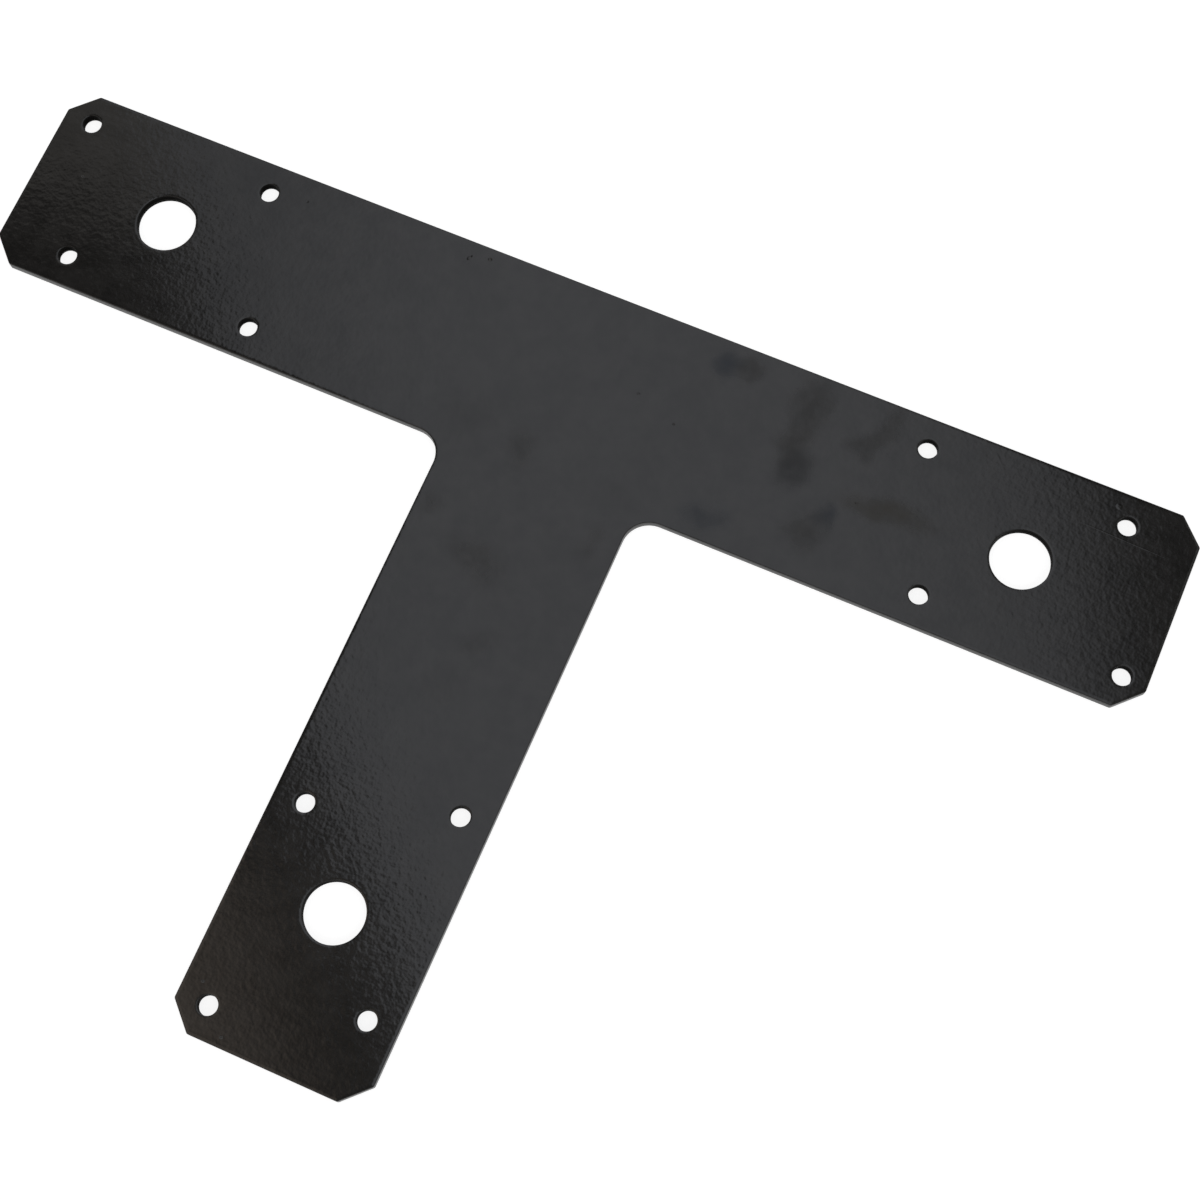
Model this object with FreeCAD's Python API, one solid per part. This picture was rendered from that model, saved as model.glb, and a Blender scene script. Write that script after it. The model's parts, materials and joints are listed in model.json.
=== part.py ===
import FreeCAD, Part

import math
import os

from FreeCAD import Vector

# T-shaped joint plate: a flat bar with a stem at its middle, punched from one sheet of steel.
# Millimetres, +Z up. The plate lies on its back face, and its front face looks up.
# The origin is on the back face, where the centre lines of bar and stem cross.

# Sheet and outline
plate_thickness = 3.2
bar_length = 381.0
bar_width = 63.5
stem_width = 62.8
stem_length = 191.7  # from the lower edge of the bar to the end of the stem
corner_cut = 7.8  # leg of the 45 degree cut at each outer corner
cut_corner_radius = 1.2  # where a cut meets an edge
inner_corner_radius = 8.5  # between bar and stem

# Bolt holes, one on the centre line of each arm
bolt_hole_diameter = 18.5
bolt_end_distance = 47.5  # from the end of the arm to the hole's centre

# Screw holes, two rows of two on each arm, and one row sits further in than the other
screw_hole_diameter = 6.0
screws_in_row = 2
screw_pitch = 63.5  # along a row
screw_stagger = 14.0  # how much further in the second row sits
screw_edge_distance = 9.7  # from the side of the arm to the row's centre line
screw_end_distance = 9.6  # from the end of the arm to the first hole of its first row
right_screw_end_distance = 7.9  # the same on the right arm, where the rows sit nearer the end

# Edges: rolled over by the punch on the front, deburred on the back
outline_edge_roll = 0.5  # radius
rim_width = 0.5  # of the rolled ring round each hole
rim_slope = 45.0  # degrees off the front face at which the rolled rim meets the hole's wall
back_edge_break = 0.2

same_height = 0.0001  # how far an edge may be off a face and still lie in it

# Headings in which the arms leave the origin, in degrees from +X
right_heading = 0.0
left_heading = 180.0
stem_heading = 270.0


class Arm:
    """One arm of the T. Places on it are given by u, inwards from its end, and v, across it."""

    def __init__(self, heading, reach, width, first_screw):
        self.outwards = Vector(math.cos(math.radians(heading)), math.sin(math.radians(heading)), 0)
        self.across = Vector(self.outwards.y, -self.outwards.x, 0)
        self.reach = reach
        self.width = width
        self.first_screw = first_screw

    def place(self, u, v):
        return self.outwards * (self.reach - u) + self.across * v

    def end_corners(self):
        """The arm's end with its two corners cut off, counter-clockwise seen from the front."""
        half = self.width / 2
        cut = half - corner_cut
        return [self.place(u, v) for u, v in ((corner_cut, half), (0, cut), (0, -cut), (corner_cut, -half))]

    def bolt_centre(self):
        return self.place(bolt_end_distance, 0)

    def screw_centres(self):
        row = self.width / 2 - screw_edge_distance
        centres = []
        for start, v in ((self.first_screw, row), (self.first_screw + screw_stagger, -row)):
            for step in range(screws_in_row):
                centres.append(self.place(start + step * screw_pitch, v))
        return centres


def make_arms():
    """The right, left and stem arms, each with its own reach, width and first screw."""
    bar_reach = bar_length / 2
    stem_reach = bar_width / 2 + stem_length
    right = Arm(right_heading, bar_reach, bar_width, right_screw_end_distance)
    left = Arm(left_heading, bar_reach, bar_width, screw_end_distance)
    stem = Arm(stem_heading, stem_reach, stem_width, screw_end_distance)
    return right, left, stem


def line_chain(points):
    """Straight edges from each point to the next."""
    return [Part.LineSegment(start, end).toShape() for start, end in zip(points, points[1:])]


def corner_arc(before, corner, after, radius):
    """The arc that rounds one corner of an outline, from the side before it to the side after it."""
    back = (before - corner).normalize()
    ahead = (after - corner).normalize()
    inwards = (back + ahead).normalize()
    half_angle = back.getAngle(ahead) / 2
    along = radius / math.tan(half_angle)
    depth = radius / math.sin(half_angle) - radius
    return Part.Arc(corner + back * along, corner + inwards * depth, corner + ahead * along)


def rounded_outline(corners):
    """A closed wire through the corners, each of which is a point and the radius that rounds it."""
    count = len(corners)
    arcs = []
    for number, (point, radius) in enumerate(corners):
        before = corners[number - 1][0]
        after = corners[(number + 1) % count][0]
        arcs.append(corner_arc(before, point, after, radius))
    edges = []
    for number, arc in enumerate(arcs):
        following = arcs[(number + 1) % count]
        edges.append(arc.toShape())
        edges += line_chain([arc.EndPoint, following.StartPoint])
    return Part.Wire(edges)


def make_blank(right, left, stem):
    """The T cut from the sheet, before its holes."""
    lower_edge = -bar_width / 2
    inner_right = Vector(stem_width / 2, lower_edge, 0)
    inner_left = Vector(-stem_width / 2, lower_edge, 0)
    corners = [(point, cut_corner_radius) for point in stem.end_corners()]
    corners.append((inner_right, inner_corner_radius))
    corners += [(point, cut_corner_radius) for point in right.end_corners() + left.end_corners()]
    corners.append((inner_left, inner_corner_radius))
    return Part.Face(rounded_outline(corners)).extrude(Vector(0, 0, plate_thickness))


def make_punch(radius, centre):
    """What a hole takes out of the sheet: a straight wall, a rolled front rim and a small back break."""
    slope = math.radians(rim_slope)
    roll_radius = rim_width / math.sin(slope)
    roll_centre = Vector(radius + rim_width, 0, plate_thickness - roll_radius)
    roll = [roll_centre + Vector(-math.sin(a), 0, math.cos(a)) * roll_radius for a in (slope, slope / 2, 0)]
    beyond = plate_thickness  # how far the punch reaches out of the sheet
    foot = Vector(0, 0, -beyond)
    break_radius = radius + back_edge_break
    wall = [foot, Vector(break_radius, 0, -beyond), Vector(break_radius, 0, 0)]
    wall += [Vector(radius, 0, back_edge_break), roll[0]]
    head = plate_thickness + beyond
    top = [roll[-1], Vector(radius + rim_width, 0, head), Vector(0, 0, head), foot]
    profile = Part.Wire(line_chain(wall) + [Part.Arc(*roll).toShape()] + line_chain(top))
    punch = Part.Face(profile).revolve(Vector(0, 0, 0), Vector(0, 0, 1), 360)
    punch.translate(centre)
    return punch


def punch_holes(blank, arms):
    """Cuts each arm's bolt hole and screw holes right through the sheet."""
    punches = []
    for arm in arms:
        punches.append(make_punch(bolt_hole_diameter / 2, arm.bolt_centre()))
        for centre in arm.screw_centres():
            punches.append(make_punch(screw_hole_diameter / 2, centre))
    return blank.cut(punches)


def outline_edges(plate, height):
    """The outline's edges at this height. A hole's rim has only one vertex, and is left out."""
    found = []
    for edge in plate.Edges:
        box = edge.BoundBox
        level = abs(box.ZMin - height) < same_height and abs(box.ZMax - height) < same_height
        if level and len(edge.Vertexes) == 2:
            found.append(edge)
    return found


def soften_outline(plate):
    """Rolls over the outline's front edge and takes the burr off its back edge."""
    roll = min(outline_edge_roll, plate_thickness / 2)
    plate = plate.makeFillet(roll, outline_edges(plate, plate_thickness))
    return plate.makeChamfer(back_edge_break, outline_edges(plate, 0))


def make_t_plate():
    arms = make_arms()
    return soften_outline(punch_holes(make_blank(*arms), arms))


os.makedirs("parts", exist_ok=True)
t_plate = make_t_plate()
t_plate.exportStep("parts/t_plate.step")
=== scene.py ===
import json
import logging
import math
from dataclasses import dataclass, field
from enum import Enum
from typing import Iterable

import bmesh
import bpy
from mathutils import Euler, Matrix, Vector


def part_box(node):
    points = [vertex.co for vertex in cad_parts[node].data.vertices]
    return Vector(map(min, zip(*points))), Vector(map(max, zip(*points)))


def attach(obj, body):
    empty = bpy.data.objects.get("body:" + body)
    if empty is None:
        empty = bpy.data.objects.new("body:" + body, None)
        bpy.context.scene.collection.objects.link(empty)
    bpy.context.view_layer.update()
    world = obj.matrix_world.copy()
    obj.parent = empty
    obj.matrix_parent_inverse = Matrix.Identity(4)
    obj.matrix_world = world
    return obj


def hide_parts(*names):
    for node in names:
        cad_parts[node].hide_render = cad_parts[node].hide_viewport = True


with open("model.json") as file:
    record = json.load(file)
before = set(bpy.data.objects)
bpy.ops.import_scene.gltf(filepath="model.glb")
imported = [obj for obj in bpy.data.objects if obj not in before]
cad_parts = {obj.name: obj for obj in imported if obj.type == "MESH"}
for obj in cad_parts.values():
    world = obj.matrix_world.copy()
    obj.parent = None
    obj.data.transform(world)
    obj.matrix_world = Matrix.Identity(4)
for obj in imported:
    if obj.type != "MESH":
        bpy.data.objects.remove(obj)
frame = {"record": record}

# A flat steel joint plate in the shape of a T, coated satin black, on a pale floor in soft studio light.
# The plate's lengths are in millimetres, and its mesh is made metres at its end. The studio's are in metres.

LOG = logging.getLogger("joint plate")
PLATE_NODE = "t_plate"
BODY = "root"
MM = 0.001  # metres in a millimetre

Colour = tuple[float, float, float]
Output = bpy.types.NodeSocket


class Surface(Enum):
    """The plate's kinds of surface. The value is the material slot's number."""

    FRONT = 0
    BACK = 1
    CUT = 2
    BORE = 3


class Tree:
    """A node tree that is built node by node."""

    MIX_INPUTS = (0, 6, 7)  # a Mix node's share and its two colours, among all of its inputs
    MIX_RESULT = 2

    def __init__(self, tree: bpy.types.NodeTree) -> None:
        """Takes an empty node tree."""
        self.tree = tree

    def add(self, kind: str, inputs: dict | None = None, **settings: object) -> bpy.types.Node:
        """Adds a node and fills its inputs.

        Args:
            kind: the node's type, such as ShaderNodeMath.
            inputs: a value or another node's output for each input, by name or number.
            settings: the node's own settings, such as operation.

        Returns:
            The new node.
        """
        node = self.tree.nodes.new(kind)
        for name, value in settings.items():
            setattr(node, name, value)
        for key, value in (inputs or {}).items():
            if isinstance(value, bpy.types.NodeSocket):
                self.tree.links.new(value, node.inputs[key])
            else:
                node.inputs[key].default_value = value
        return node

    def sum(self, operation: str, *values: float | Output) -> Output:
        """The result of one sum, such as ADD, on numbers and outputs."""
        return self.add("ShaderNodeMath", dict(enumerate(values)), operation=operation).outputs[0]

    def vector(self, operation: str, inputs: dict) -> bpy.types.Node:
        """Adds a sum on vectors, such as LENGTH."""
        return self.add("ShaderNodeVectorMath", inputs, operation=operation)

    def carry(
        self, value: Output, low: float, high: float, to_low: float = 0.0, to_high: float = 1.0
    ) -> Output:
        """Carries a value smoothly from one range to another and holds it at the ends.

        Args:
            value: the output to carry over.
            low: where the first range starts.
            high: where the first range ends.
            to_low: what low becomes.
            to_high: what high becomes.

        Returns:
            The carried value.
        """
        wanted = {"Value": value, "From Min": low, "From Max": high, "To Min": to_low, "To Max": to_high}
        return self.add("ShaderNodeMapRange", wanted, interpolation_type="SMOOTHSTEP").outputs[0]

    def noise(self, place: Output, grain: float, detail: float = 1.0, rough: float = 0.5) -> bpy.types.Node:
        """Smooth noise whose grains are about this many millimetres across."""
        wanted = {"Vector": place, "Scale": 1 / (grain * MM), "Detail": detail, "Roughness": rough}
        return self.add("ShaderNodeTexNoise", wanted)

    def mix(self, share: float | Output, under: Colour | Output, over: Colour | Output) -> Output:
        """One colour over another by a share from 0 to 1."""
        node = self.add("ShaderNodeMix", data_type="RGBA")
        sockets = (node.inputs[number] for number in self.MIX_INPUTS)
        for socket, value in zip(sockets, (share, under, over)):
            if isinstance(value, bpy.types.NodeSocket):
                self.tree.links.new(value, socket)
            else:
                socket.default_value = (*value, 1) if isinstance(value, tuple) else value
        return node.outputs[self.MIX_RESULT]


class Group:
    """A shader node group that several finishes place with values of their own."""

    def __init__(self, name: str, values: dict[str, float], outputs: Iterable[str]) -> None:
        """Opens a group that takes a place on the surface and some values.

        Args:
            name: the group's name.
            values: each value's name and what it is where a finish doesn't say.
            outputs: the names of the masks and heights that the group puts out.
        """
        self.tree = bpy.data.node_groups.new(name, "ShaderNodeTree")
        self.tree.interface.new_socket("Place", in_out="INPUT", socket_type="NodeSocketVector")
        for title, value in values.items():
            socket = self.tree.interface.new_socket(title, in_out="INPUT", socket_type="NodeSocketFloat")
            socket.default_value = value
        for title in outputs:
            self.tree.interface.new_socket(title, in_out="OUTPUT", socket_type="NodeSocketFloat")
        self.nodes = Tree(self.tree)
        self.given = self.nodes.add("NodeGroupInput").outputs
        self.result = self.nodes.add("NodeGroupOutput").inputs

    def put(self, title: str, value: Output) -> None:
        """Sends a value out of the group."""
        self.tree.links.new(value, self.result[title])

    def place(self, nodes: Tree, inputs: dict[str, float | Output]) -> bpy.types.bpy_prop_collection:
        """Places the group in a finish with these inputs and gives its outputs."""
        return nodes.add("ShaderNodeGroup", inputs, node_tree=self.tree).outputs


class SharedEffects:
    """The effects that the plate's finishes share, each built once as a node group, in millimetres."""

    FINE_GRAIN = 1.6
    COARSE_GRAIN = 4.5
    WAVE_GRAIN = 60.0
    SPECK_SPACING = 9.0
    SPECK_RADIUS = 0.3

    def __init__(self) -> None:
        """Builds every group."""
        self.peel = self._peel()
        self.dust = self._dust()

    def _peel(self) -> Group:
        """The fine orange peel of sprayed and baked powder, over a slower waviness of the sheet.

        Returns:
            The group. It puts out a height in metres.
        """
        group = Group("powder peel", {"Fine": 0.0, "Coarse": 0.0, "Wave": 0.0}, ["Height"])
        nodes, given, place = group.nodes, group.given, group.given["Place"]
        fine = nodes.sum("MULTIPLY", nodes.noise(place, self.FINE_GRAIN).outputs[0], given["Fine"])
        coarse = nodes.sum("MULTIPLY", nodes.noise(place, self.COARSE_GRAIN).outputs[0], given["Coarse"])
        wave = nodes.sum("MULTIPLY", nodes.noise(place, self.WAVE_GRAIN, 0.0).outputs[0], given["Wave"])
        height = nodes.sum("ADD", nodes.sum("ADD", fine, coarse), wave)
        group.put("Height", nodes.sum("MULTIPLY", height, MM))
        return group

    def _dust(self) -> Group:
        """Scattered specks: the finish says in what share of a loose grid's cells one lies.

        Returns:
            The group. It puts out a mask that is 1 on a speck.
        """
        group = Group("specks", {"Share": 0.0}, ["Mask"])
        nodes, given = group.nodes, group.given
        scale = 1 / (MM * self.SPECK_SPACING)
        cells = nodes.add("ShaderNodeTexVoronoi", {"Vector": given["Place"], "Scale": scale})
        away = nodes.sum("MULTIPLY", cells.outputs["Distance"], self.SPECK_SPACING)
        near = nodes.sum("LESS_THAN", away, self.SPECK_RADIUS)
        chance = nodes.add("ShaderNodeSeparateColor", {"Color": cells.outputs["Color"]}).outputs[0]
        group.put("Mask", nodes.sum("MULTIPLY", near, nodes.sum("LESS_THAN", chance, given["Share"])))
        return group


@dataclass(frozen=True)
class Spot:
    """An oval on the front face: its centre and half its length and width in mm, and its turn in degrees."""

    centre: tuple[float, float]
    half: tuple[float, float]
    turn: float
    depth: float

    def away(self, nodes: Tree, place: Output) -> Output:
        """How far a place is from the middle, where 1 is the oval's own edge.

        Args:
            nodes: the finish's tree.
            place: the place, in metres.

        Returns:
            The distance.
        """
        spot = {
            "Vector": place,
            "Location": (self.centre[0] * MM, self.centre[1] * MM, 0),
            "Rotation": (0, 0, math.radians(self.turn)),
            "Scale": (self.half[0] * MM, self.half[1] * MM, 1),
        }
        local = nodes.add("ShaderNodeMapping", spot, vector_type="TEXTURE").outputs[0]
        return nodes.vector("LENGTH", {0: local}).outputs["Value"]


@dataclass(frozen=True)
class Mark(Spot):
    """A soft-edged mark that handling has left. Its depth is how far it dulls the gloss."""

    FADED = 1.4  # how far out it ends, where 1 is the oval's own edge

    film: Colour | None = None

    def mask(self, nodes: Tree, place: Output) -> Output:
        """A mask from 0 round the mark to its depth in the middle."""
        return nodes.carry(self.away(nodes, place), 0.0, self.FADED, self.depth, 0.0)


@dataclass(frozen=True)
class Nick(Spot):
    """A small dent in the coating, or a bump where its depth is below 0. The depth is in millimetres."""

    LEVEL = 0.3  # the share of the oval that is level, in its middle

    def height(self, nodes: Tree, place: Output) -> Output:
        """The height that it adds at a place, in metres."""
        return nodes.carry(self.away(nodes, place), self.LEVEL, 1.0, -self.depth * MM, 0.0)


@dataclass(frozen=True)
class PowderCoat:
    """Satin black powder coating, as it looks on one surface of the plate.

    Grains, drift and depths are in millimetres, and each range is the part of a noise that counts.
    """

    IOR = 1.5
    SPECK_ROUGHNESS = 0.8
    CLOUD_GRAIN = 7.0
    CLOUD_DETAIL = 5.0
    CLOUD_SHARPNESS = 0.7
    CLOUD_RANGE = (0.3, 0.7)
    CLOUD_DULLING = 0.01
    BREAK_GRAIN = 4.0
    BREAK_DETAIL = 2.0
    BREAK_RANGE = (0.25, 0.65)
    LEAST_UNBROKEN = 0.55
    DRIFT_GRAIN = 9.0
    DRIFT = 6.0
    TEAR_GRAIN = 0.7
    TEAR_DETAIL = 2.0
    TEAR_STRETCH = 0.12
    TEAR_DEPTH = 0.05

    surface: Surface
    black: Colour = (0.0045, 0.004, 0.0034)
    clouded: Colour = (0.0115, 0.0107, 0.0098)
    speck: Colour = (0.25, 0.24, 0.22)
    gloss: float = 0.12
    dull: float = 0.48
    shine: float = 0.5
    peel: tuple[float, float, float] = (0.036, 0.022, 0.1)
    specks: float = 0.03
    marks: tuple[Mark, ...] = ()
    nicks: tuple[Nick, ...] = ()

    def make(self, effects: SharedEffects) -> bpy.types.Material:
        """Builds the material.

        Args:
            effects: the node groups that every finish shares.

        Returns:
            The material, named after its surface.
        """
        material = bpy.data.materials.new(f"black_coating_{self.surface.name.lower()}")
        material.use_nodes = True
        nodes = Tree(material.node_tree)
        material.node_tree.nodes.clear()
        place = nodes.add("ShaderNodeTexCoord").outputs["Object"]
        colour, dulling = self._handled(nodes, place)
        specks = effects.dust.place(nodes, {"Place": place, "Share": self.specks})["Mask"]
        peel = dict(zip(("Fine", "Coarse", "Wave"), self.peel))
        height = effects.peel.place(nodes, {"Place": place, **peel})["Height"]
        if self.surface in (Surface.CUT, Surface.BORE):
            height = nodes.sum("ADD", height, self._tearing(nodes, place))
        for nick in self.nicks:
            height = nodes.sum("ADD", height, nick.height(nodes, place))
        colour = nodes.mix(specks, colour, self.speck)
        keen, blunt = self.gloss ** 2, self.dull ** 2
        spread = nodes.sum("MULTIPLY_ADD", dulling, blunt - keen, keen)
        dusty = nodes.sum("MULTIPLY", specks, self.SPECK_ROUGHNESS)
        rough = nodes.sum("MAXIMUM", nodes.sum("SQRT", spread), dusty)
        shader = nodes.add(
            "ShaderNodeBsdfPrincipled",
            {"Base Color": colour, "Roughness": rough, "IOR": self.IOR, "Specular IOR Level": self.shine},
        )
        bump = nodes.add("ShaderNodeBump", {"Strength": 1.0, "Distance": 1.0, "Height": height})
        nodes.tree.links.new(bump.outputs["Normal"], shader.inputs["Normal"])
        nodes.add("ShaderNodeOutputMaterial", {"Surface": shader.outputs["BSDF"]})
        return material

    def _handled(self, nodes: Tree, place: Output) -> tuple[Output, Output]:
        """The coating's colour, and how much handling has dulled its gloss.

        Args:
            nodes: the finish's tree.
            place: the place on the surface.

        Returns:
            The colour, and a mask from 0 to 1, of a soft cloudiness with the finish's own marks.
        """
        clouds = nodes.noise(place, self.CLOUD_GRAIN, self.CLOUD_DETAIL, self.CLOUD_SHARPNESS)
        cloud = nodes.carry(clouds.outputs[0], *self.CLOUD_RANGE)
        colour = nodes.mix(cloud, self.black, self.clouded)
        dulling = nodes.sum("MULTIPLY", cloud, self.CLOUD_DULLING)
        if self.marks:
            breaks = nodes.noise(place, self.BREAK_GRAIN, self.BREAK_DETAIL).outputs[0]
            broken = nodes.carry(breaks, *self.BREAK_RANGE, self.LEAST_UNBROKEN, 1.0)
            place = self._drifted(nodes, place)
        for mark in self.marks:
            mask = nodes.sum("MULTIPLY", mark.mask(nodes, place), broken)
            dulling = nodes.sum("ADD", dulling, mask)
            if mark.film:
                colour = nodes.mix(mask, colour, mark.film)
        return colour, dulling

    def _drifted(self, nodes: Tree, place: Output) -> Output:
        """The place, moved a little this way and that, so that marks aren't true ovals."""
        drift = nodes.noise(place, self.DRIFT_GRAIN).outputs["Color"]
        shift = nodes.vector("SUBTRACT", {0: drift, 1: (0.5, 0.5, 0.5)}).outputs[0]
        moved = nodes.vector("SCALE", {0: shift, "Scale": self.DRIFT * MM}).outputs[0]
        return nodes.vector("ADD", {0: place, 1: moved}).outputs[0]

    def _tearing(self, nodes: Tree, place: Output) -> Output:
        """Upright streaks that the punch leaves down a cut wall, as a height in metres."""
        stretch = {"Vector": place, "Scale": (1, 1, self.TEAR_STRETCH)}
        drawn = nodes.add("ShaderNodeMapping", stretch).outputs[0]
        streaks = nodes.noise(drawn, self.TEAR_GRAIN, self.TEAR_DETAIL).outputs[0]
        return nodes.sum("MULTIPLY", streaks, self.TEAR_DEPTH * MM)


# What a mark's film adds to the black, and where the marks and nicks of the front face are
BLUISH: Colour = (0.0035, 0.006, 0.0105)
GREYISH: Colour = (0.0055, 0.006, 0.0068)
BROWNISH: Colour = (0.0115, 0.0095, 0.0055)
FRONT_MARKS = (
    Mark((38, 24), (5, 4.5), 0, 1.2, BLUISH),
    Mark((45.5, 25), (5, 4), 0, 0.9),
    Mark((67.5, 21), (7, 10), 5, 0.9),
    Mark((66.5, 8), (5.5, 8.5), 0, 0.85),
    Mark((70, 0), (6.5, 6.5), 0, 1.4, GREYISH),
    Mark((92, 23), (3.6, 9), -12, 0.7),
    Mark((87, 15), (5.5, 4.5), 0, 0.65),
    Mark((101, -2), (15, 4), 3, 0.95, BROWNISH),
    Mark((84.5, -10), (3, 5.5), 15, 0.9, BLUISH),
    Mark((80.5, -17), (6.5, 7.5), -15, 0.7),
    Mark((51, -24.5), (8.5, 5.5), 20, 0.7, BLUISH),
    Mark((25, -27), (9, 8), 0, 0.14),
    Mark((23.5, -45), (3.5, 8), 0, 0.42),
    Mark((-27, -22), (11, 9), 0, 0.18),
    Mark((-9, -26), (5, 8), 15, 0.45),
    Mark((-7, -63), (10, 7), -10, 0.5),
    Mark((4, -71), (10, 8), 0, 0.08),
    Mark((18, -73), (6, 6), 0, 0.06),
    Mark((5, -87), (7.5, 4), 20, 0.22),
    Mark((0, -103), (8, 9), 0, 0.1),
    Mark((-26, -52), (4, 3), 0, 0.3),
)
FRONT_NICKS = (
    Nick((-49.4, 26.1), (1.3, 0.6), 65, 0.15),
    Nick((-43.2, 28.0), (0.8, 0.65), 0, 0.15),
    Nick((-104.8, 23.9), (0.5, 0.4), 0, 0.06),
    Nick((31.2, -0.5), (0.45, 0.4), 0, 0.08),
    Nick((91.8, -2.5), (0.8, 0.4), 10, 0.08),
    Nick((17.4, 4.5), (0.6, 0.5), 0, -0.06),
    Nick((-175.0, 4.2), (0.6, 0.5), 0, -0.15),
    Nick((-25.9, -208.4), (0.6, 0.5), 0, -0.2),
    Nick((-14.1, -220.5), (0.6, 0.5), 0, -0.2),
    Nick((164.2, 26.9), (1.2, 1.0), 0, -0.12),
    Nick((169.9, 17.4), (16.9, 0.25), -2, -0.015),
)


def rise(width: float, slope: float) -> float:
    """How far the surface rises over a width, at a slope in degrees."""
    return width * math.tan(math.radians(slope))


def drop(steps: Iterable[tuple[float, float]]) -> float:
    """How far the punch has drawn an edge down, from the widths and slopes that lead to it."""
    return sum(rise(width, slope) for width, slope in steps)


@dataclass(frozen=True)
class Hole:
    """A punched hole: its centre and the radius of its straight wall."""

    LARGEST_SCREW_HOLE = 5.0  # radius
    BOLT_HOLE_FACETS = 128
    SCREW_HOLE_FACETS = 64

    centre: Vector
    radius: float

    @property
    def large(self) -> bool:
        """Whether it takes a bolt and not a screw."""
        return self.radius > self.LARGEST_SCREW_HOLE

    @property
    def steps(self) -> int:
        """How many facets go round it."""
        return self.BOLT_HOLE_FACETS if self.large else self.SCREW_HOLE_FACETS


@dataclass
class JointPlate:
    """The plate, punched from one sheet: a bar with a stem at its middle.

    Its length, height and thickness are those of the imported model, and its holes are where the
    record has them. A die roll or a dish is a row of widths, each with its slope in degrees.
    """

    CUT_TURN = 45.0  # degrees by which the outline turns at each end of a cut corner
    SAME_HEIGHT = 0.001
    FRONT_TILT = 0.8  # a face whose normal points up more than this belongs to the front
    LIP_TILT = 0.3  # a face in a hole that points up more than this isn't part of its dark wall
    BACK_TILT = -0.2
    INNER_CORNER_SEGMENTS = 16
    ROLL_SEGMENTS = 6
    BREAK_SEGMENTS = 2

    low: Vector
    high: Vector
    holes: list[Hole]
    finishes: dict[Surface, bpy.types.Material]
    bar_width: float = 63.5
    stem_width: float = 62.8
    corner_cut: float = 7.8
    cut_corner_radius: float = 0.9
    inner_corner_radius: float = 8.5
    edge_roll: float = 0.22
    rim_roll: float = 0.14
    back_break: float = 0.12
    bore_break: float = 0.05
    die_roll: tuple[tuple[float, float], ...] = ((0.3, 7.0), (0.4, 4.0), (0.4, 1.5))
    rim_dish: tuple[tuple[float, float], ...] = ((0.35, 5.0), (0.5, 1.8))
    shear_depth: float = 2.2
    shear_step: float = 0.04
    bolt_shear_step: float = 0.12
    name: str = "joint_plate"
    mesh: bmesh.types.BMesh = field(default_factory=bmesh.new)

    def build(self) -> bpy.types.Object:
        """Makes the plate from a flat T, then its holes, and closes both faces round them.

        Returns:
            The plate's object, finished and in place.
        """
        front, back = self._blank()
        rim = front.edges[:]
        for width, slope in self.die_roll:
            bmesh.ops.inset_region(
                self.mesh, faces=[front], thickness=width, depth=rise(width, slope), use_even_offset=True
            )
        self._soften(rim, self.edge_roll, self.ROLL_SEGMENTS)
        self._soften(back.edges[:], self.back_break, self.BREAK_SEGMENTS)
        bmesh.ops.delete(self.mesh, geom=self._lids(), context="FACES_ONLY")
        for hole in self.holes:
            self._punch(hole)
        for level, way in ((self.high.z, 1), (self.low.z, -1)):
            self._close(level, way)
        bmesh.ops.recalc_face_normals(self.mesh, faces=self.mesh.faces[:])
        return self._finish()

    def _blank(self) -> tuple[bmesh.types.BMFace, bmesh.types.BMFace]:
        """Draws the T, rounds its corners and gives it the sheet's thickness.

        Returns:
            The front and the back face.
        """
        low, high = self.low, self.high
        under = high.y - self.bar_width
        side = self.stem_width / 2
        left = [(low.x, high.y), (low.x, under), (-side, under), (-side, low.y)]
        right = [(-x, y) for x, y in reversed(left)]
        corners = [self.mesh.verts.new((x, y, low.z)) for x, y in left + right]
        self.mesh.faces.new(corners)
        inner = [corners[2], corners[5]]
        self._round(inner, self.inner_corner_radius, self.INNER_CORNER_SEGMENTS)
        cut = self._round([corner for corner in corners if corner not in inner], self.corner_cut, 1)
        reach = self.cut_corner_radius * math.tan(math.radians(self.CUT_TURN / 2))
        self._round(cut, reach, self.ROLL_SEGMENTS)
        back = self.mesh.faces[:][0]
        raised = bmesh.ops.extrude_face_region(self.mesh, geom=[back], use_keep_orig=True)["geom"]
        lift = [part for part in raised if isinstance(part, bmesh.types.BMVert)]
        thickness = high.z - low.z - drop(self.die_roll)
        bmesh.ops.translate(self.mesh, vec=(0, 0, thickness), verts=lift)
        bmesh.ops.recalc_face_normals(self.mesh, faces=self.mesh.faces[:])
        front = next(part for part in raised if isinstance(part, bmesh.types.BMFace))
        return front, back

    def _round(
        self, corners: list[bmesh.types.BMVert], reach: float, segments: int
    ) -> list[bmesh.types.BMVert]:
        """Cuts or rounds corners of the flat T, or of a hole's profile.

        Args:
            corners: the corners.
            reach: how far along its sides each is cut.
            segments: 1 for a straight cut, more for a round one.

        Returns:
            The new corners.
        """
        made = bmesh.ops.bevel(
            self.mesh, geom=corners, affect="VERTICES", offset=reach, segments=segments, profile=0.5,
            material=-1,
        )
        return made["verts"]

    def _soften(self, edges: list[bmesh.types.BMEdge], width: float, segments: int) -> None:
        """Rounds the edges that run round a face."""
        bmesh.ops.bevel(
            self.mesh, geom=edges, affect="EDGES", offset=width, segments=segments, profile=0.5, material=-1
        )

    def _lids(self) -> list[bmesh.types.BMFace]:
        """The two flat faces: the only ones with more than four corners."""
        return [face for face in self.mesh.faces if len(face.verts) > 4]

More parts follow.
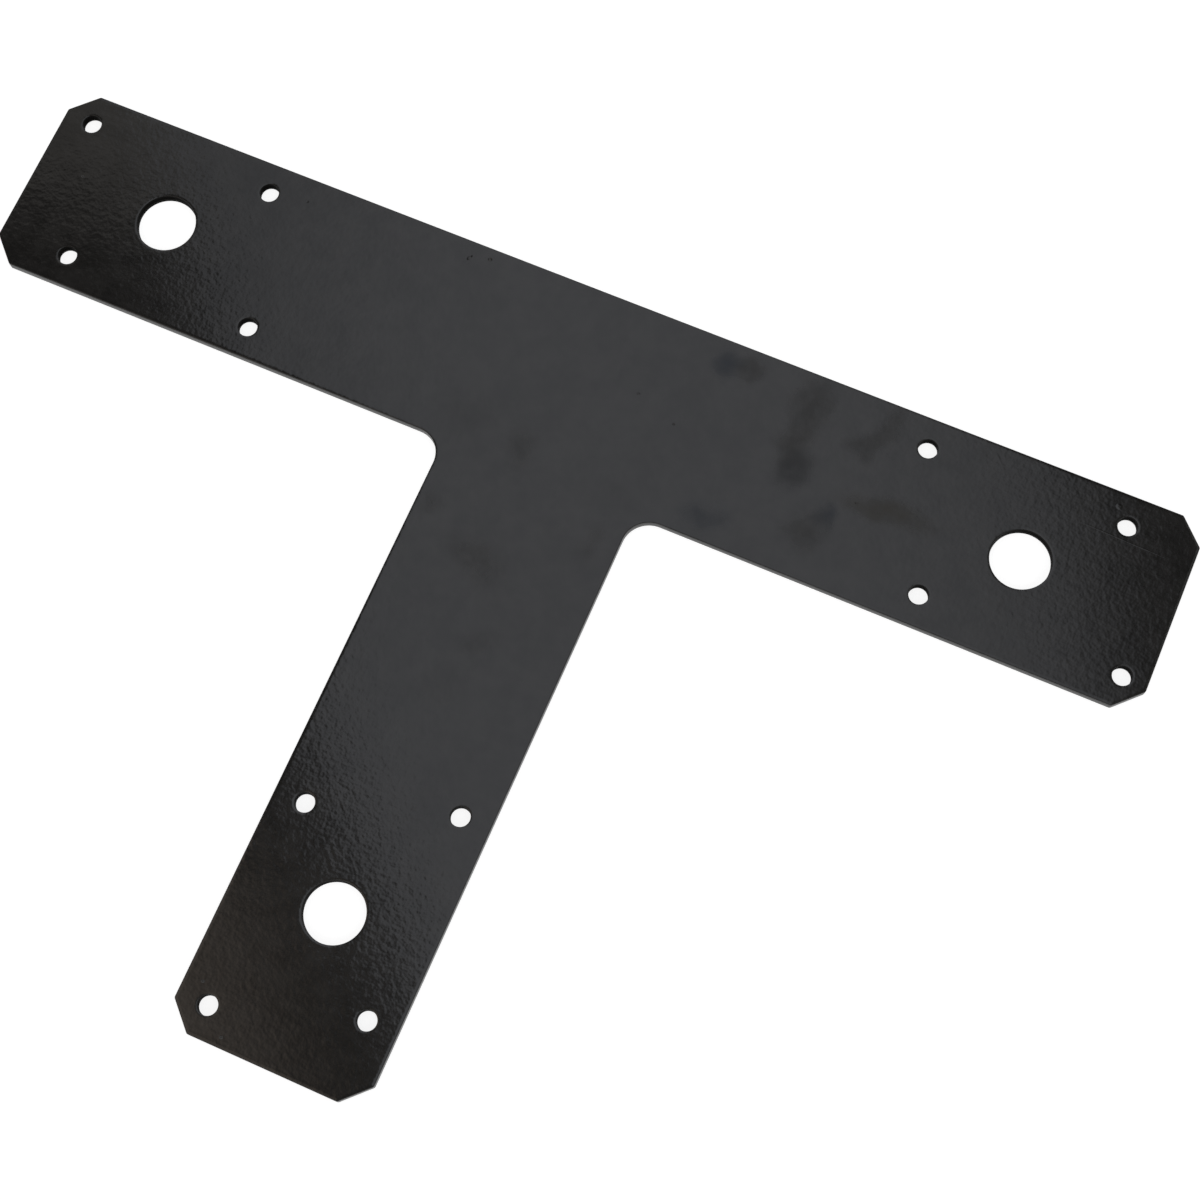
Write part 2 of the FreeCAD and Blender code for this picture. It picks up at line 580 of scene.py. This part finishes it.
    def _punch(self, hole: Hole) -> None:
        """Turns a hole's wall, with its rolled rim in front and its small break behind.

        Args:
            hole: where it is and how wide.
        """
        low, high = self.low.z, self.high.z - drop(self.rim_dish)
        step = self.bolt_shear_step if hole.large else self.shear_step
        ledge = high - self.shear_depth
        wall = [(self.bore_break, low), (0, low + self.bore_break), (0, ledge), (step, ledge + step)]
        mouth = len(wall)
        wall.append((step, high))
        for width, slope in self.rim_dish:
            out, up = wall[-1]
            wall.append((out + width, up + rise(width, slope)))
        places = [hole.centre + Vector((hole.radius + out, 0, up)) for out, up in wall]
        chain = [self.mesh.verts.new(place) for place in places]
        for pair in zip(chain, chain[1:]):
            self.mesh.edges.new(pair)
        rolled = self._round([chain[mouth]], self.rim_roll, self.ROLL_SEGMENTS)
        ends = [*rolled, *chain[:mouth], *chain[mouth + 1:]]
        profile = dict.fromkeys(edge for vert in ends for edge in vert.link_edges)
        bmesh.ops.spin(
            self.mesh, geom=[*profile, *ends], cent=hole.centre, axis=(0, 0, 1), dvec=(0, 0, 0),
            angle=math.tau, steps=hole.steps, use_merge=True,
        )

    def _close(self, level: float, way: int) -> None:
        """Fills the flat face at a level, from the outline to the rims of the holes."""
        rims = [edge for edge in self.mesh.edges if edge.is_boundary and self._at(edge.verts, level)]
        bmesh.ops.triangle_fill(
            self.mesh, edges=rims, use_beauty=True, use_dissolve=False, normal=(0, 0, way)
        )

    def _at(self, verts: Iterable[bmesh.types.BMVert], level: float) -> bool:
        """Whether all of these are at this height."""
        return all(abs(vert.co.z - level) < self.SAME_HEIGHT for vert in verts)

    def _surface(self, face: bmesh.types.BMFace) -> Surface:
        """The kind of surface that a face belongs to."""
        tilt = face.normal.z
        if tilt > self.FRONT_TILT:
            return Surface.FRONT
        if tilt < self.BACK_TILT:
            return Surface.BACK
        middle, margin = face.calc_center_median().xy, 2 * self.rim_roll
        inside = any((middle - hole.centre.xy).length < hole.radius + margin for hole in self.holes)
        return Surface.BORE if inside and tilt < self.LIP_TILT else Surface.CUT

    def _finish(self) -> bpy.types.Object:
        """Shades the mesh, makes it metres and gives each face its finish.

        Returns:
            The object.
        """
        for face in self.mesh.faces:
            face.smooth = True
            face.material_index = self._surface(face).value
        data = bpy.data.meshes.new(self.name)
        self.mesh.normal_update()
        flat = {self.high.z: Vector((0, 0, 1)), self.low.z: Vector((0, 0, -1))}
        normals = [
            next((up for level, up in flat.items() if self._at([vert], level)), vert.normal).copy()
            for vert in self.mesh.verts
        ]
        bmesh.ops.scale(self.mesh, vec=(MM, MM, MM), verts=self.mesh.verts[:])
        self.mesh.to_mesh(data)
        self.mesh.free()
        data.normals_split_custom_set_from_vertices(normals)
        for surface in Surface:
            data.materials.append(self.finishes[surface])
        plate = bpy.data.objects.new(self.name, data)
        bpy.context.scene.collection.objects.link(plate)
        return plate


@dataclass(frozen=True)
class Shade:
    """A straight band across a lamp that dims it: full light where it starts, less from its end on."""

    way: tuple[float, float]
    start: float
    end: float
    level: float = 0.0

    def mask(self, nodes: Tree, spot: Output) -> Output:
        """How much light is left at a spot on the lamp.

        Args:
            nodes: the lamp's tree.
            spot: the spot, in metres from the lamp's middle.

        Returns:
            A mask from level to 1.
        """
        inputs = {0: spot, 1: (*self.way, 0)}
        reach = nodes.vector("DOT_PRODUCT", inputs).outputs["Value"]
        return nodes.carry(reach, self.start, self.end, 1.0, self.level)


@dataclass(frozen=True)
class SoftLight:
    """A flat lamp that hangs over the plate and faces down. At a brightness of 1 it looks white."""

    name: str
    centre: tuple[float, float, float]
    size: tuple[float, float]
    turn: float
    brightness: float
    colour: Colour = (1.0, 1.0, 1.0)
    shades: tuple[Shade, ...] = ()

    def hang(self) -> bpy.types.Object:
        """Makes the lamp. Its power is what its area gives off at its brightness."""
        data = bpy.data.lights.new(self.name, "AREA")
        data.shape = "RECTANGLE"
        data.size, data.size_y = self.size
        data.energy = self.brightness * math.pi * self.size[0] * self.size[1]
        data.color = self.colour
        if self.shades:
            self._dim(data)
        lamp = bpy.data.objects.new(self.name, data)
        lamp.location = self.centre
        lamp.rotation_euler = (0, 0, math.radians(self.turn))
        bpy.context.scene.collection.objects.link(lamp)
        return lamp

    def _dim(self, data: bpy.types.Light) -> None:
        """Puts the shades over the lamp."""
        data.use_nodes = True
        data.node_tree.nodes.clear()
        nodes = Tree(data.node_tree)
        share = nodes.add("ShaderNodeNewGeometry").outputs["Parametric"]
        middle = [-side / 2 for side in self.size]
        inputs = {0: share, 1: (*self.size, 0), 2: (*middle, 0)}
        spot = nodes.vector("MULTIPLY_ADD", inputs).outputs[0]
        light: float | Output = 1.0
        for shade in self.shades:
            light = nodes.sum("MULTIPLY", shade.mask(nodes, spot), light)
        glow = nodes.add("ShaderNodeEmission", {"Strength": light})
        nodes.add("ShaderNodeOutputLight", {"Surface": glow.outputs[0]})


@dataclass
class Studio:
    """The room: pale floor, bright walls, a dark canopy overhead, and soft lamps over the plate."""

    floor_half: float = 6.0
    floor_level: float = -0.0002
    floor_colour: Colour = (0.35, 0.35, 0.35)
    floor_glow: float = 0.83
    wall_light: float = 1.5
    low_wall_light: float = 0.6
    low_wall_top: float = 0.4
    canopy_light: float = 0.085
    canopy_way: Colour = (-0.19, 0.237, 0.952)
    canopy_reach: tuple[float, float] = (43.0, 55.0)
    lights: tuple[SoftLight, ...] = (
        SoftLight(
            "main_softbox", (-0.0712, 0.3576, 1.0), (1.3, 0.76), -52.0, 0.98, (0.97, 1.0, 1.07),
            (
                Shade((-0.5, -1.0), 0.24, 0.51, 0.7),
                Shade((0.183, -1.0), 0.392, 0.412),
                Shade((0.196, 1.0), 0.07, 0.22, 0.82),
                Shade((0.196, 1.0), 0.21, 0.34),
            ),
        ),
        SoftLight(
            "stem_card", (-0.4, -0.36, 1.0), (0.56, 0.56), 0.0, 0.88, (1.0, 0.84, 0.71),
            (Shade((0.76, 0.64), 0.117, 0.347),),
        ),
        SoftLight("left_card", (-0.8, 0.58, 1.0), (0.44, 0.46), 0.0, 0.42, (1.0, 0.96, 0.9)),
        SoftLight("right_card", (0.43, 0.36, 1.0), (0.12, 0.8), 0.0, 0.55),
    )

    def build(self) -> None:
        """Makes the floor, the light of the room and the lamps."""
        self._floor()
        self._room()
        for light in self.lights:
            light.hang()

    def _floor(self) -> None:
        """A floor that looks white to the camera and in gloss, and still takes the plate's shadow."""
        mesh = bmesh.new()
        bmesh.ops.create_grid(mesh, x_segments=1, y_segments=1, size=self.floor_half)
        bmesh.ops.translate(mesh, vec=(0, 0, self.floor_level), verts=mesh.verts[:])
        data = bpy.data.meshes.new("floor")
        mesh.to_mesh(data)
        mesh.free()
        material = bpy.data.materials.new("pale_floor")
        material.use_nodes = True
        nodes = Tree(material.node_tree)
        material.node_tree.nodes.clear()
        path = nodes.add("ShaderNodeLightPath").outputs
        seen = nodes.sum("MAXIMUM", path["Is Camera Ray"], path["Is Glossy Ray"])
        seen = nodes.sum("MAXIMUM", seen, path["Is Transmission Ray"])
        glow = nodes.add("ShaderNodeEmission", {"Strength": nodes.sum("MULTIPLY", seen, self.floor_glow)})
        matt = nodes.add("ShaderNodeBsdfDiffuse", {"Color": (*self.floor_colour, 1)})
        both = nodes.add("ShaderNodeAddShader", {0: glow.outputs[0], 1: matt.outputs[0]})
        nodes.add("ShaderNodeOutputMaterial", {"Surface": both.outputs[0]})
        data.materials.append(material)
        floor = bpy.data.objects.new("floor", data)
        bpy.context.scene.collection.objects.link(floor)

    def _room(self) -> None:
        """Light from all round, softer near the floor, with a dark canopy behind the lamps overhead."""
        world = bpy.data.worlds.new("room")
        world.use_nodes = True
        world.node_tree.nodes.clear()
        nodes = Tree(world.node_tree)
        way = nodes.add("ShaderNodeTexCoord").outputs["Generated"]
        up = nodes.add("ShaderNodeSeparateXYZ", {"Vector": way}).outputs["Z"]
        walls = nodes.carry(up, 0.0, self.low_wall_top, self.low_wall_light, self.wall_light)
        near = nodes.vector("DOT_PRODUCT", {0: way, 1: self.canopy_way}).outputs["Value"]
        inner, outer = (math.cos(math.radians(angle)) for angle in self.canopy_reach)
        dimming = nodes.carry(near, outer, inner, 1.0, self.canopy_light)
        light = nodes.sum("MULTIPLY", walls, dimming)
        glow = nodes.add("ShaderNodeBackground", {"Strength": light})
        nodes.add("ShaderNodeOutputWorld", {"Surface": glow.outputs[0]})
        bpy.context.scene.world = world


@dataclass(frozen=True)
class View:
    """The camera: where it stands, how it is turned in degrees, and its lens and film in millimetres."""

    place: tuple[float, float, float] = (0.12638, -0.22702, 0.6296)
    turn: tuple[float, float, float] = (16.866, 1.763, 23.535)
    lens: float = 66.07
    film: float = 36.0
    nearest: float = 0.01

    def set_up(self) -> None:
        """Makes the camera and gives it to the scene."""
        data = bpy.data.cameras.new("camera")
        data.lens = self.lens
        data.sensor_width = self.film
        data.clip_start = self.nearest
        camera = bpy.data.objects.new("camera", data)
        camera.location = self.place
        camera.rotation_euler = Euler([math.radians(angle) for angle in self.turn], "XYZ")
        bpy.context.scene.collection.objects.link(camera)
        bpy.context.scene.camera = camera


def holes_of(record: dict) -> list[Hole]:
    """The plate's holes, from the bores that the record names.

    Args:
        record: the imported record.

    Returns:
        One hole for each bore.
    """
    bores = [mount for mount in record["mounts"] if mount["kind"] == "bore"]
    return [Hole(Vector((*bore["pos_m"][:2], 0)) / MM, bore["dims"]["r_mm"]) for bore in bores]


def make_finishes() -> dict[Surface, bpy.types.Material]:
    """The coating's material on each kind of surface."""
    effects = SharedEffects()
    coats = (
        PowderCoat(Surface.FRONT, marks=FRONT_MARKS, nicks=FRONT_NICKS),
        PowderCoat(Surface.BACK, gloss=0.24, specks=0.05),
        PowderCoat(Surface.CUT, gloss=0.32, shine=0.12, specks=0.0),
        # Hole walls: a rougher coat with little shine, plus a darker black and cloudiness that are painted
        # shade inside the holes.
        PowderCoat(
            Surface.BORE, black=(0.0014, 0.0012, 0.001), clouded=(0.004, 0.0036, 0.0032),
            gloss=0.5, dull=0.6, shine=0.02, specks=0.0,
        ),
    )
    return {coat.surface: coat.make(effects) for coat in coats}


def main() -> None:
    """Builds the plate, then the studio and the camera, and reports each."""
    logging.basicConfig(level=logging.INFO, format="%(name)s: %(message)s")
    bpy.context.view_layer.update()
    bpy.context.scene.view_settings.view_transform = "Standard"
    low, high = (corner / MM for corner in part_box(PLATE_NODE))
    plate = JointPlate(low, high, holes_of(frame["record"]), make_finishes()).build()
    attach(plate, BODY)
    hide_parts(PLATE_NODE)
    LOG.info("%s: %d faces", plate.name, len(plate.data.polygons))
    Studio().build()
    View().set_up()
    LOG.info("studio and camera ready")


if __name__ == "__main__":
    main()
